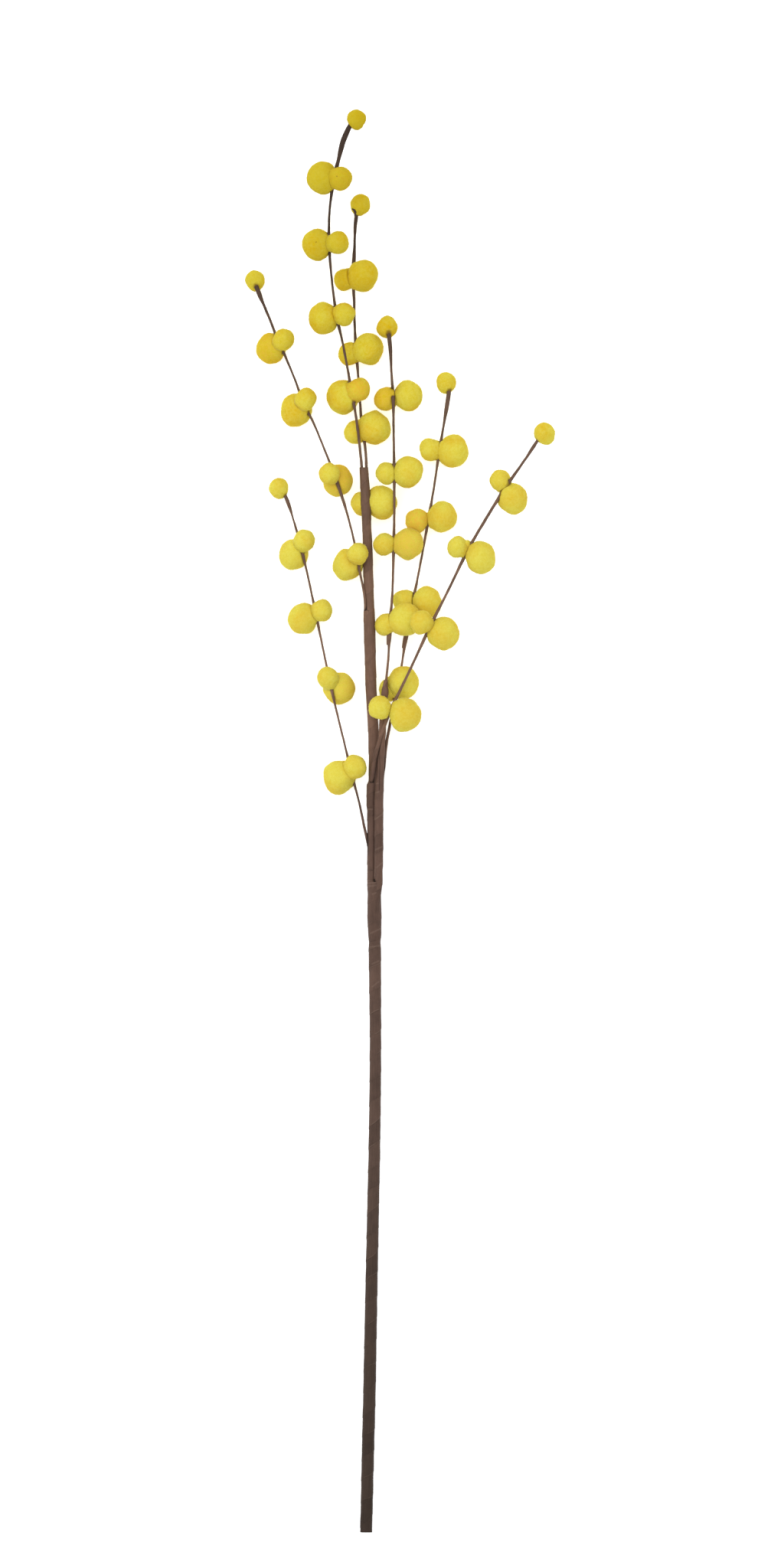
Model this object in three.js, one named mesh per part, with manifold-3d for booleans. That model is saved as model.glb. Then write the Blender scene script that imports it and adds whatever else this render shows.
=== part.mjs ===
// Artificial catkin branch: a taped wire stem with seven side branches, each carrying
// four pairs of yellow plush balls and one at its tip. It lies on a surface, face up.
// Millimetres, +Z up, the cut end of the stem towards -Y and the tips towards +Y.
import * as THREE from 'three';
import { mergeVertices } from 'three/addons/utils/BufferGeometryUtils.js';
import Module from 'manifold-3d';

const wasm = await Module();
wasm.setup();

// Driving dimensions
const GAP = 0.3; // between pieces that touch
const CORE_RADIUS = 2; // steel wire inside the lower stem
const CORE_LENGTH = 385;
const CORE_SIDES = 8;
const RUN_OUT = 5; // how far the core wire's hole is cut beyond the end of the stem
const WIRE_STEP = 7; // length of one straight piece of a bent wire
const GLUE_SWELL = 0.35; // how much thicker a wire is where a pair of balls is glued on
const GLUE_LENGTH = 18; // from the middle of that swelling to its end
const BALL_LUMP = 0.012; // unevenness of a plush ball, as a share of its radius
const BALL_LENGTHEN = 1.03; // a ball is a little longer along the branch than across it
const FACET_SWELL = 1.025; // makes up for the flat facets that stand in for a round ball
const LARGE_DETAIL = 2; // how often the facets of a large ball are divided
const SMALL_DETAIL = 1;
const SEED_STEP = 10; // between the branches, so that no two balls are lumpy alike
const SLAB = { across: 400, along: 1200, deep: 20, middle: 500 }; // the surface it lies on
const STEM_SIDES = 12;
const WIRE_SIDES = 6;

const plush = new THREE.MeshStandardMaterial({ color: '#e2c92e', roughness: 0.95, metalness: 0 });
const tape = new THREE.MeshStandardMaterial({ color: '#66534a', roughness: 0.8, metalness: 0 });
const steel = new THREE.MeshStandardMaterial({ color: '#77726d', roughness: 0.5, metalness: 0.9 });

// Main stem, as rings up its length: x, y, z of the middle, then radius across and radius deep.
// It rises from the surface towards the tips, and swells where tape binds another stem to it.
const MAIN_STEM = [
  [0.1, 0, 3.4, 4.0, 4.0],
  [1.0, 40, 4.1, 4.1, 4.1],
  [2.3, 93, 5.0, 4.2, 4.2],
  [3.4, 150, 6.0, 4.1, 4.1],
  [4.5, 205, 7.0, 4.0, 4.0],
  [5.6, 255, 7.9, 3.9, 3.9],
  [6.3, 307, 8.8, 3.85, 3.85],
  [6.3, 342, 9.4, 3.9, 3.9],
  [6.0, 378, 10.1, 4.1, 4.1],
  [5.9, 389, 10.3, 4.2, 4.2],
  [5.9, 393, 10.6, 3.9, 4.1],
  [5.8, 399, 11.2, 4.4, 4.8],
  [5.6, 411, 12.2, 4.8, 5.6],
  [5.6, 426, 13.2, 4.5, 6.4],
  [5.5, 429, 13.4, 4.65, 6.7],
  [5.6, 433, 13.4, 4.8, 6.7],
  [4.7, 434.5, 11.7, 3.9, 3.8],
  [4.6, 455, 12.1, 3.8, 3.8],
  [4.5, 481, 12.5, 3.7, 3.7],
  [4.4, 484, 12.6, 4.2, 4.1],
  [4.5, 498, 12.8, 4.1, 4.1],
  [5.3, 500.5, 12.9, 3.65, 3.65],
  [5.5, 514, 13.1, 3.6, 3.6],
  [4.9, 536, 13.5, 3.6, 3.6],
  [3.4, 562, 13.9, 3.7, 3.7],
  [2.9, 582, 14.3, 3.75, 3.75],
  [2.4, 603, 14.6, 4.0, 4.0],
  [2.2, 613.5, 14.8, 3.8, 3.8],
  [2.1, 615.5, 14.9, 3.5, 3.5],
  [1.7, 633, 15.2, 3.35, 3.35],
  [1.1, 657, 15.6, 3.3, 3.3],
  [0.6, 669, 15.8, 3.05, 3.05],
  [0, 684, 16.1, 3.35, 3.35],
  [-0.7, 698, 16.3, 3.2, 3.2],
  [-1.5, 710, 16.5, 2.85, 2.85],
];

// Side stem: bound into the main stem's thick winding, it runs up in front of it and
// ends in a taped knob. Rings as above.
const SIDE_STEM = [
  [6.4, 409, 14.8, 1.6, 1.6],
  [7.0, 420, 16.2, 2.3, 2.3],
  [8.2, 433, 17.9, 2.9, 2.9],
  [8.6, 455, 18.4, 3.0, 3.0],
  [8.6, 485, 18.8, 3.0, 3.0],
  [9.0, 497, 19.0, 2.9, 2.9],
  [9.9, 508, 19.1, 2.3, 2.3],
  [10.3, 521, 19.2, 2.4, 2.4],
  [11, 536, 19.4, 2.4, 2.4],
  [11.7, 548, 19.6, 2.2, 2.2],
  [12.3, 556, 19.8, 2.0, 2.0],
  [12.5, 558.5, 19.9, 2.5, 2.5],
  [12.7, 561, 19.9, 2.35, 2.35],
  [13.0, 564.5, 20.0, 1.6, 1.6],
  [13.3, 568.5, 20.1, 1.45, 1.45],
];

// The seven branches. A wire's route runs from its root inside a stem to its end inside the tip
// ball. It is thicker at its root, in the taped collar below the tip ball, whose reach is from the
// ball's surface to the thickest place, and in sleeves of tape that are wound round it at a y.
// Balls are x, y, z and diameter, and the pairs are listed from the tip down.
const BRANCHES = {
  a: {
    route: [
      [-1.6, 697, 16.7], [-2.8, 710, 17.1], [-4.9, 730.5, 19.4], [-7.5, 749, 21.1], [-9.5, 760, 21.6],
      [-15.3, 791.5, 25], [-19.5, 810.5, 27], [-22.5, 832.5, 29.6], [-24.5, 858, 32], [-24.2, 880, 34],
      [-21.2, 902, 36], [-19.4, 909.5, 36.7], [-14.3, 929, 38.6], [-8.9, 939.8, 39.5],
    ],
    radius: 0.68, rootRadius: 0.85, rootLength: 110,
    collar: { radius: 1.82, reach: 8, length: 24 },
    sleeves: [{ y: 905, radius: 1.35, length: 24 }],
    tip: [-6.3, 940.7, 39.5, 13.8],
    pairs: [
      { large: [-29, 902, 32.5, 21.5], small: [-17, 901.5, 39.5, 16] },
      { large: [-32.5, 858, 28.5, 21], small: [-19, 859, 35, 15.5] },
      { large: [-28, 809, 23.5, 21], small: [-14.5, 811.5, 30, 16] },
      { large: [-15.5, 756, 17, 22.5], small: [-5, 761.5, 24, 16] },
    ],
  },
  b: {
    route: [
      [0.8, 697, 15.7], [0.3, 710, 15.9], [-0.2, 720, 14.4], [-1.2, 728, 12.5], [-2.2, 734.5, 11],
      [-3.2, 743, 10.4], [-4.1, 756, 10.5], [-5.2, 771, 10.8], [-6.5, 787, 11.3], [-7.5, 804, 11.5],
      [-7.9, 821, 11.8], [-8.6, 836, 12.1], [-7.8, 852.5, 12.7], [-7.1, 871, 13.3], [-5.6, 883.6, 13.5],
    ],
    radius: 0.72, rootRadius: 0.85, rootLength: 60,
    collar: { radius: 1.28, reach: 4, length: 9 },
    sleeves: [{ y: 847, radius: 1.25, length: 13 }, { y: 826, radius: 1.05, length: 8 }],
    tip: [-3.6, 884.5, 13.5, 14.3],
    pairs: [
      { large: [-2, 837.5, 14.8, 21], small: [-14, 835, 9.6, 15] },
      { large: [1.5, 788.5, 14, 21], small: [-11, 785.5, 9, 15.5] },
      { large: [5.5, 736, 12.6, 22.5], small: [-7, 733, 9, 16] },
      { large: [10, 686.5, 11.9, 22], small: [-3, 685.5, 8.7, 15.5] },
    ],
  },
  c: {
    route: [
      [1.2, 598, 15.6], [0.2, 606, 16.5], [-0.2, 613, 17.7], [-0.9, 623, 18.9], [-2.2, 631, 19.3],
      [-3.8, 638.5, 19.2], [-5.6, 649, 18.8], [-8.7, 664, 19.1], [-14.2, 684.5, 19.8], [-20.8, 704, 20.4],
      [-27, 720, 20], [-35.5, 740.5, 18.9], [-41.4, 752, 18.3], [-46.5, 766, 17.7],
      [-55, 786.5, 16.2], [-58, 792.5, 16], [-63.5, 807, 15.9], [-69.8, 822, 16.3], [-73.5, 831.3, 15.6],
    ],
    radius: 0.6, rootRadius: 0.75, rootLength: 60,
    collar: { radius: 1.5, reach: 2.5, length: 12 },
    sleeves: [{ y: 811, radius: 0.82, length: 18 }, { y: 690, radius: 1, length: 14 }],
    tip: [-74, 834, 10.9, 14.3],
    pairs: [
      { large: [-63, 789, 9.5, 20.5], small: [-55, 795, 21.2, 15] },
      { large: [-46.5, 748, 11.8, 22], small: [-40, 755, 23.8, 15] },
      { large: [-18.3, 700.6, 11.9, 20.8], small: [-24.5, 705.5, 25.2, 15] },
      { large: [-12, 645, 11.4, 21], small: [-5.5, 652, 25, 15] },
    ],
  },
  d: {
    route: [
      [12.4, 555, 19.8], [12.9, 562, 19.9], [13.5, 568.5, 20.1], [14.9, 582.5, 20.2], [16, 606.5, 20.3],
      [17.4, 623, 20.3], [18.1, 641, 20.3], [18.5, 658.5, 20.3], [18.9, 679.5, 20.6], [18.8, 706, 21.2],
      [18.4, 735.5, 22], [18.1, 756.5, 22.6], [17.1, 771, 23.6], [16.2, 789, 25.1], [14.9, 800.3, 26.1],
    ],
    radius: 0.7, rootRadius: 0.75, rootLength: 30,
    collar: { radius: 1.3, reach: 2, length: 22 },
    sleeves: [{ y: 599, radius: 1.5, length: 9 }],
    tip: [14.1, 803.2, 21.6, 14.8],
    pairs: [
      { large: [28, 757.5, 16, 20], small: [13, 755.5, 15.8, 16] },
      { large: [28, 706.5, 21, 21], small: [13.5, 705.5, 19.5, 15] },
      { large: [28, 658.5, 20, 21], small: [12, 658.5, 19.5, 15] },
      { large: [26, 608.5, 23.2, 22], small: [13, 605, 19.2, 14.5] },
    ],
  },
  e: {
    route: [
      [9.6, 492, 18.3], [10.9, 503, 18.1], [12.2, 513, 17.6], [12.7, 519, 17.1], [13.6, 526, 16.2],
      [14.7, 531.5, 15.4], [15.6, 536.5, 14.5], [18, 550, 12.2], [20.6, 563, 10.7], [23.8, 578, 10],
      [26, 592.5, 9.8], [31.3, 620.5, 9.7], [35.9, 643.5, 9.9], [41.5, 674.5, 10.3], [45.8, 699.5, 10.3],
      [48.9, 721, 10.3], [51.4, 735.5, 10.6], [53.9, 750.5, 12], [55.6, 761.6, 13.8],
    ],
    radius: 0.65, rootRadius: 1.15, rootLength: 75,
    collar: { radius: 1.4, reach: 5, length: 19 },
    sleeves: [{ y: 598, radius: 1.45, length: 14 }],
    tip: [53.3, 765.8, 10.4, 14.4],
    pairs: [
      { large: [58, 720.5, 10, 21.5], small: [43, 721.5, 9.6, 15.5] },
      { large: [51, 676.5, 11.2, 20.5], small: [34.3, 674, 9.7, 16.5] },
      { large: [40.5, 620.5, 11.3, 21], small: [25, 620.5, 8.4, 15.5] },
      { large: [25, 566.5, 13.5, 21.5], small: [15.5, 561, 8.4, 15] },
    ],
  },
  f: {
    route: [
      [4.7, 484, 15], [4.1, 492, 15.8], [3.9, 498.5, 16.9], [5, 511, 18.7], [7.2, 521, 21.2],
      [10.1, 531.5, 23.3], [13.1, 539.5, 24.9], [16.1, 547.5, 26.3], [20.7, 557, 27.4],
      [25.6, 567, 28.4], [30.6, 577.5, 30], [42.9, 604, 34.4], [55.2, 628.5, 37], [67.6, 654, 39.6],
      [79.1, 674, 41.4], [92.5, 695.5, 43.2], [106.1, 715, 45], [115, 728.6, 46.8],
    ],
    radius: 0.78, rootRadius: 1.2, rootLength: 60,
    collar: { radius: 1.07, reach: 5, length: 9 },
    sleeves: [{ y: 508, radius: 1.5, length: 36 }, { y: 676, radius: 0.95, length: 20 }],
    tip: [118.9, 731.6, 44.6, 15],
    pairs: [
      { large: [97.5, 688.5, 39.5, 20.5], small: [89.5, 700.5, 39.5, 15] },
      { large: [76, 649.5, 39, 21.5], small: [61, 656.5, 40, 14.5] },
      { large: [51.5, 599, 33, 22], small: [37, 606.5, 39, 16] },
      { large: [26, 544.5, 29, 22.5], small: [9.5, 549.5, 29.9, 16] },
    ],
  },
  g: {
    route: [
      [3, 450, 12.5], [1.8, 457, 12.7], [0.5, 463, 13], [-1.3, 471, 13.3], [-4.3, 485.5, 13.9],
      [-10, 507.5, 14.9], [-14.5, 526.5, 15.9], [-19.4, 546.5, 16.7], [-24.1, 567, 17], [-28.3, 587.5, 16],
      [-33.5, 612.5, 14.4], [-37.9, 633.5, 15.3], [-43.4, 657.5, 16.7], [-48.1, 674, 17],
      [-51.3, 684.5, 17], [-54.4, 692.3, 16.9],
    ],
    radius: 0.6, rootRadius: 0.9, rootLength: 50,
    collar: { radius: 1.27, reach: 3, length: 10 },
    sleeves: [],
    tip: [-58.1, 695.5, 15.5, 14],
    pairs: [
      { large: [-48, 651.5, 11.4, 20.4], small: [-41, 661, 20.5, 15] },
      { large: [-42, 609, 11.4, 21], small: [-29.5, 614.5, 17.5, 15] },
      { large: [-18, 562.5, 11.6, 21.5], small: [-25.5, 569.5, 21.7, 15] },
      { large: [-18, 503, 12.1, 22.5], small: [-7.5, 510.5, 18.5, 16] },
    ],
  },
};

// Closed solid from a closed geometry
function solidFrom(geometry) {
  geometry.deleteAttribute('normal');
  geometry.deleteAttribute('uv');
  const merged = mergeVertices(geometry, 1e-4);
  return new wasm.Manifold(new wasm.Mesh({
    numProp: 3,
    vertProperties: new Float32Array(merged.attributes.position.array),
    triVerts: new Uint32Array(merged.index.array),
  }));
}

// Tapering bar through a list of rings: a closed cylinder whose rows are moved to the rings
function bar(rings, sides, grow = 0) {
  const geometry = new THREE.CylinderGeometry(1, 1, 1, sides, rings.length - 1);
  const centres = rings.map(([x, y, z]) => new THREE.Vector3(x, y, z));
  const up = new THREE.Vector3(0, 0, 1);
  const position = geometry.attributes.position;
  for (let i = 0; i < position.count; i++) {
    const row = Math.round((0.5 - position.getY(i)) * (rings.length - 1));
    const before = centres[Math.max(row - 1, 0)];
    const after = centres[Math.min(row + 1, rings.length - 1)];
    const along = new THREE.Vector3().subVectors(after, before).normalize();
    const across = new THREE.Vector3().crossVectors(along, up).normalize();
    const deep = new THREE.Vector3().crossVectors(along, across);
    const point = centres[row].clone();
    point.addScaledVector(across, position.getX(i) * (rings[row][3] + grow));
    point.addScaledVector(deep, position.getZ(i) * (rings[row][4] + grow));
    position.setXYZ(i, point.x, point.y, point.z);
  }
  return solidFrom(geometry);
}

// Smooth rise and fall, 1 at no distance and 0 from the stated reach on
function swell(distance, reach) {
  return Math.abs(distance) < reach ? (1 + Math.cos((Math.PI * distance) / reach)) / 2 : 0;
}

// Rings of a branch's wire: it swells at its root, at each glued pair, in its sleeves and collar
function wireRings({ route, radius, rootRadius, rootLength, collar, sleeves, tip, pairs }) {
  const curve = new THREE.CatmullRomCurve3(route.map((point) => new THREE.Vector3(...point)));
  const count = Math.round(curve.getLength() / WIRE_STEP);
  const tipPlace = new THREE.Vector3(...tip.slice(0, 3));
  const glue = pairs.map(({ large, small }) => (large[1] + small[1]) / 2);
  return curve.getSpacedPoints(count).map((point, index) => {
    const fromRoot = (curve.getLength() * index) / count;
    const fromCollar = point.distanceTo(tipPlace) - tip[3] / 2 - collar.reach;
    const half = radius + Math.max(
      (rootRadius - radius) * swell(fromRoot, rootLength),
      (collar.radius - radius) * swell(fromCollar, collar.length),
      ...glue.map((y) => GLUE_SWELL * swell(point.y - y, GLUE_LENGTH)),
      ...sleeves.map((sleeve) => (sleeve.radius - radius) * swell(point.y - sleeve.y, sleeve.length)),
    );
    return [point.x, point.y, point.z, half, half];
  });
}

// Lumpy plush ball, turned and dented differently for each seed
function ball([x, y, z, diameter], detail, seed) {
  const geometry = new THREE.IcosahedronGeometry(1, detail);
  geometry.rotateX(seed).rotateY(2 * seed);
  const position = geometry.attributes.position;
  const point = new THREE.Vector3();
  for (let i = 0; i < position.count; i++) {
    point.fromBufferAttribute(position, i);
    const lump = Math.sin(3 * point.x + seed) + Math.sin(3 * point.y + 2 * seed) + Math.sin(3 * point.z);
    point.multiplyScalar(FACET_SWELL * (diameter / 2) * (1 + BALL_LUMP * lump));
    position.setXYZ(i, x + point.x / BALL_LENGTHEN, y + point.y * BALL_LENGTHEN, z + point.z);
  }
  return solidFrom(geometry);
}

// The surface that the branch lies on, as a slab to cut with
function surfaceSlab() {
  const slab = new THREE.BoxGeometry(SLAB.across, SLAB.along, SLAB.deep);
  slab.translate(0, SLAB.middle, -SLAB.deep / 2);
  return solidFrom(slab);
}

// Named mesh of a solid, placed at an anchor point
function place(name, solid, [x, y, z], material) {
  const { vertProperties, triVerts } = solid.getMesh();
  const geometry = new THREE.BufferGeometry();
  geometry.setAttribute('position', new THREE.BufferAttribute(new Float32Array(vertProperties), 3));
  geometry.setIndex(new THREE.BufferAttribute(new Uint32Array(triVerts), 1));
  geometry.translate(-x, -y, -z);
  geometry.computeVertexNormals();
  const mesh = new THREE.Mesh(geometry, material);
  mesh.name = name;
  mesh.position.set(x, y, z);
  return mesh;
}

const surface = surfaceSlab();
const wires = Object.fromEntries(Object.entries(BRANCHES).map(([name, branch]) => {
  const rings = wireRings(branch);
  return [name, { rings, solid: bar(rings, WIRE_SIDES), room: bar(rings, WIRE_SIDES, GAP) }];
}));
const mainRoom = bar(MAIN_STEM, STEM_SIDES, GAP);
const sideRoom = bar(SIDE_STEM, STEM_SIDES, GAP);

// Core wire: a steel rod up the lower stem, flush with the cut end
function coreRings(radius, runOut) {
  const rings = MAIN_STEM.filter(([, y]) => y <= CORE_LENGTH);
  return rings.map(([x, y, z], index) => [x, index === 0 ? y - runOut : y, z, radius, radius]);
}

// Stems: the roots of wires stand in plain holes in them
function mainStem() {
  const hole = bar(coreRings(CORE_RADIUS + GAP, RUN_OUT), CORE_SIDES);
  let solid = bar(MAIN_STEM, STEM_SIDES).subtract(hole);
  for (const name of ['a', 'b', 'c', 'f', 'g']) {
    solid = solid.subtract(wires[name].room);
  }
  return solid.subtract(sideRoom).subtract(surface);
}

function sideStem() {
  return bar(SIDE_STEM, STEM_SIDES).subtract(wires.d.room).subtract(wires.e.room);
}

// One branch: wire, glued pairs and tip ball. Soft balls give way to the wire, to the stems
// and to the surface that they rest on.
function branchGroup(name, branch, seed) {
  const group = new THREE.Group();
  const { solid: wire, room } = wires[name];
  group.add(place(`branch_wire_${name}`, wire, branch.route[0], tape));
  branch.pairs.forEach(({ large, small }, index) => {
    const turn = seed + index;
    let pair = ball(large, LARGE_DETAIL, turn).add(ball(small, SMALL_DETAIL, turn + 0.5));
    for (const cutter of [room, mainRoom, sideRoom, surface]) {
      pair = pair.subtract(cutter);
    }
    group.add(place(`ball_pair_${name}${index + 1}`, pair, large.slice(0, 3), plush));
  });
  const tip = ball(branch.tip, SMALL_DETAIL, seed + branch.pairs.length).subtract(room);
  group.add(place(`tip_ball_${name}`, tip, branch.tip.slice(0, 3), plush));
  return group;
}

const branch = new THREE.Group();
branch.add(place('main_stem', mainStem(), MAIN_STEM[0].slice(0, 3), tape));
branch.add(place('core_wire', bar(coreRings(CORE_RADIUS, 0), CORE_SIDES), MAIN_STEM[0].slice(0, 3), steel));
branch.add(place('side_stem', sideStem(), SIDE_STEM[0].slice(0, 3), tape));
Object.entries(BRANCHES).forEach(([name, spec], index) => {
  branch.add(branchGroup(name, spec, SEED_STEP * index));
});

// Origin under the middle of the branch, on the surface
const middle = new THREE.Box3().setFromObject(branch).getCenter(new THREE.Vector3());
branch.position.set(-middle.x, -middle.y, 0);
const catkinBranch = new THREE.Group();
catkinBranch.add(branch);

export default catkinBranch;
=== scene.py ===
# Artificial catkin branch, laid on a white table: taped wire stems with pairs of yellow plush balls.
# Metres, +Z up, the cut end of the stem towards -Y and the tips towards +Y.
import math

import bmesh
import bpy
import numpy as np
from mathutils import Euler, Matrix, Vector, noise


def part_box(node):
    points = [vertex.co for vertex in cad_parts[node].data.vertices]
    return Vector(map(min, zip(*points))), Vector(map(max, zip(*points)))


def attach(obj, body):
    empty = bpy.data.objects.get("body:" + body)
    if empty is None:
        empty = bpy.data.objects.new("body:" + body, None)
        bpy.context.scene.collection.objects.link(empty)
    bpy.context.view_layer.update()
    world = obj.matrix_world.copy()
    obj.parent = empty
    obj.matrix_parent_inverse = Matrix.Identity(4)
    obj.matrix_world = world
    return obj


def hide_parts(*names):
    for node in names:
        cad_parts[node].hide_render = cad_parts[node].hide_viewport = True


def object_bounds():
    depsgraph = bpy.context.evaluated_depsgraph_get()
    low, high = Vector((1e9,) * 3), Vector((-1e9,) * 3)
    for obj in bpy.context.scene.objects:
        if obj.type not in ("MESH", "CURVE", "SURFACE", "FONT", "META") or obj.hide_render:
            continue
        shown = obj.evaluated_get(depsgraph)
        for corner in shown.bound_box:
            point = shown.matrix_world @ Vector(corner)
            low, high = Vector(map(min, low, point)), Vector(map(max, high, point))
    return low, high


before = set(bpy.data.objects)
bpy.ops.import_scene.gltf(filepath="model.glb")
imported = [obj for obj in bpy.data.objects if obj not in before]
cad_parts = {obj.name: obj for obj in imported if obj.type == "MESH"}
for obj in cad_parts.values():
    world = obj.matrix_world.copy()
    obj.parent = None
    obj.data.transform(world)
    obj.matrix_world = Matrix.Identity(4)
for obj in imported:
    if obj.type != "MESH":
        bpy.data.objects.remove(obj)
cad_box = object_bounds()


# Core wire: one length of drawn steel wire, 4 mm thick, up the middle of the lower stem.
# It was cut with pliers before the tape went on, so its dull end is bare at the foot.
MM = 0.001
RING_GAP = 2 * MM
CORE_SIDES = 32
CORE_ROW = 6 * MM
STEEL_DULL = "#5F5B56"
STEEL_GREY = "#7A756F"
STEEL_MARK = 0.35 * MM


def corners_of(node):
    """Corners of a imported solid, one row of x, y, z for each"""
    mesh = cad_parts[node].data
    corners = np.empty(3 * len(mesh.vertices))
    mesh.vertices.foreach_get("co", corners)
    return corners.reshape(-1, 3)


def rings_up(node):
    """Middle and radius of each ring of corners of a wire, from its root to its end"""
    corners = np.unique(corners_of(node).round(6), axis=0)
    corners = corners[np.argsort(corners[:, 1])]
    rings = np.split(corners, np.nonzero(np.diff(corners[:, 1]) > RING_GAP)[0] + 1)
    middles = np.array([ring.mean(0) for ring in rings])
    radii = [np.linalg.norm(ring - middle, axis=1).max() for ring, middle in zip(rings, middles)]
    return np.column_stack([middles, radii, radii])


def smooth_through(knots, step):
    """Rows a step apart on a smooth curve through the knots, with their radii"""
    ends = np.vstack([2 * knots[0] - knots[1], knots, 2 * knots[-1] - knots[-2]])
    rows = []
    for a, b, c, d in zip(ends, ends[1:], ends[2:], ends[3:]):
        count = max(1, round(np.linalg.norm((c - b)[:3]) / step))
        t = (np.arange(count) / count)[:, None]
        bend = 2 * a - 5 * b + 4 * c - d
        twist = 3 * b - a - 3 * c + d
        rows.append((2 * b + (c - a) * t + bend * t**2 + twist * t**3) / 2)
    return np.vstack([*rows, knots[-1:]])


def tube_corners(rows, sides, swell=0, upright=False):
    """Rings of corners round a line of rows: x, y, z, half width across and half width deep.
    Each ring starts underneath, where its seam is out of sight, and is square to the line or,
    where upright is true, square to Y."""
    along = np.tile([0.0, 1.0, 0.0], (len(rows), 1)) if upright else np.gradient(rows[:, :3], axis=0)
    across = np.cross(along, (0, 0, 1))
    across /= np.linalg.norm(across, axis=1)[:, None]
    up = np.cross(across, along)
    up /= np.linalg.norm(up, axis=1)[:, None]
    turn = 2 * math.pi * np.arange(sides) / sides - math.pi / 2
    out_across = (np.cos(turn) * (rows[:, 3, None] + swell))[..., None] * across[:, None]
    out_up = (np.sin(turn) * (rows[:, 4, None] + swell))[..., None] * up[:, None]
    return rows[:, None, :3] + out_across + out_up


def tube_faces(count, sides, first=0):
    """Four-cornered faces between the rings of a tube"""
    ring = np.arange(sides)
    beside = (ring + 1) % sides
    start = first + np.arange(count - 1)[:, None] * sides
    corners = [start + ring, start + sides + ring, start + sides + beside, start + beside]
    return np.stack(corners, axis=-1).reshape(-1, 4).tolist()


def end_faces(ring, middle, outward):
    """Fan of three-cornered faces that closes a ring of corners on a middle corner"""
    beside = np.roll(ring, -outward)
    return [[middle, int(a), int(b)] for a, b in zip(ring, beside)]


def closed_tube(skin, rows):
    """Corners and faces of a tube whose ends close on the middles of its first and last rings"""
    sides = skin.shape[1]
    corners = skin.reshape(-1, 3)
    ring = np.arange(sides)
    faces = tube_faces(len(rows), sides)
    faces += end_faces(ring, len(corners), 1)
    faces += end_faces(ring + len(corners) - sides, len(corners) + 1, -1)
    return np.vstack([corners, rows[[0, -1], :3]]), faces


def linear(colour):
    """Linear red, green, blue and alpha of an sRGB hex colour"""
    shares = [int(colour[i : i + 2], 16) / 255 for i in (1, 3, 5)]
    return [s / 12.92 if s <= 0.04045 else ((s + 0.055) / 1.055) ** 2.4 for s in shares] + [1]


def add_node(finish, kind, settings=(), **inputs):
    """Shader node with its settings, each input set to a value or linked to another node's output"""
    node = finish.node_tree.nodes.new(kind)
    for name, value in dict(settings).items():
        setattr(node, name, value)
    for name, value in inputs.items():
        socket = node.inputs[name.replace("_", " ")]
        if isinstance(value, bpy.types.NodeSocket):
            finish.node_tree.links.new(value, socket)
        else:
            socket.default_value = value
    return node


def new_finish(name):
    """Material with no nodes yet"""
    finish = bpy.data.materials.new(name)
    finish.use_nodes = True
    finish.node_tree.nodes.clear()
    return finish


def make_piece(name, corners, faces, finish, nodes, marks=(), facing=None):
    """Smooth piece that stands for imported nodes; marks are values kept at its corners, or where
    there are more of them, at each corner of each face; facing is the way that each corner looks"""
    mesh = bpy.data.meshes.new(name)
    mesh.from_pydata(np.asarray(corners).tolist(), [], faces)
    mesh.shade_smooth()
    if facing is not None:
        mesh.normals_split_custom_set_from_vertices(facing.tolist())
    mesh.materials.append(finish)
    for mark, values in dict(marks).items():
        kind = "FLOAT" if np.ndim(values) == 1 else "FLOAT_VECTOR"
        field = "value" if np.ndim(values) == 1 else "vector"
        domain = "POINT" if len(values) == len(corners) else "CORNER"
        mesh.attributes.new(mark, kind, domain).data.foreach_set(field, np.ravel(values))
    piece = bpy.data.objects.new(name, mesh)
    bpy.context.scene.collection.objects.link(piece)
    if nodes:
        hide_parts(*nodes)
    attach(piece, "root")
    return piece


# Drawn steel: dull grey, in two tones, with rubbed marks that are drawn coarser than real ones so
# that the cut end, all that shows of it, isn't one flat disc
drawn_steel = new_finish("drawn_steel")
place = add_node(drawn_steel, "ShaderNodeTexCoord").outputs["Object"]
rubbed = add_node(drawn_steel, "ShaderNodeTexNoise", Vector=place, Scale=1 / STEEL_MARK, Detail=3)
wear = add_node(drawn_steel, "ShaderNodeMapRange", Value=rubbed.outputs["Fac"], To_Min=0.3, To_Max=0.6)
shade = add_node(
    drawn_steel,
    "ShaderNodeMixRGB",
    Fac=rubbed.outputs["Fac"],
    Color1=linear(STEEL_DULL),
    Color2=linear(STEEL_GREY),
)
steel = add_node(
    drawn_steel,
    "ShaderNodeBsdfPrincipled",
    Base_Color=shade.outputs["Color"],
    Metallic=0.9,
    Roughness=wear.outputs["Result"],
)
add_node(drawn_steel, "ShaderNodeOutputMaterial", Surface=steel.outputs["BSDF"])

core_rows = smooth_through(rings_up("core_wire"), CORE_ROW)
core_corners, core_faces = closed_tube(tube_corners(core_rows, CORE_SIDES), core_rows)
make_piece("drawn_core_wire", core_corners, core_faces, drawn_steel, ["core_wire"])


# Main stem: a bundle of wires wound in one layer of brown paper floral tape, 12 mm wide.
# Each turn of tape overlaps the last, so its edge stands proud and climbs to the right.
TAPE_TURN = 14.8 * MM
TAPE_LIFT = 0.17 * MM
MEAN_LIFT = 0.33
TAPE_WOBBLE = 0.16
WOBBLE_SIZE = 11 * MM
TAPE_CREASE = 0.06 * MM
CREASE_SIZE = 1.3 * MM
CREASE_STRETCH = 5
# From turn to turn the creases jump this far on in their pattern, so that they stop at the edge
TURN_APART = 10 * MM
TAPE_BUMP = 0.1 * MM
BUMP_SIZE = 6 * MM
MAIN_SEED = 11
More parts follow.
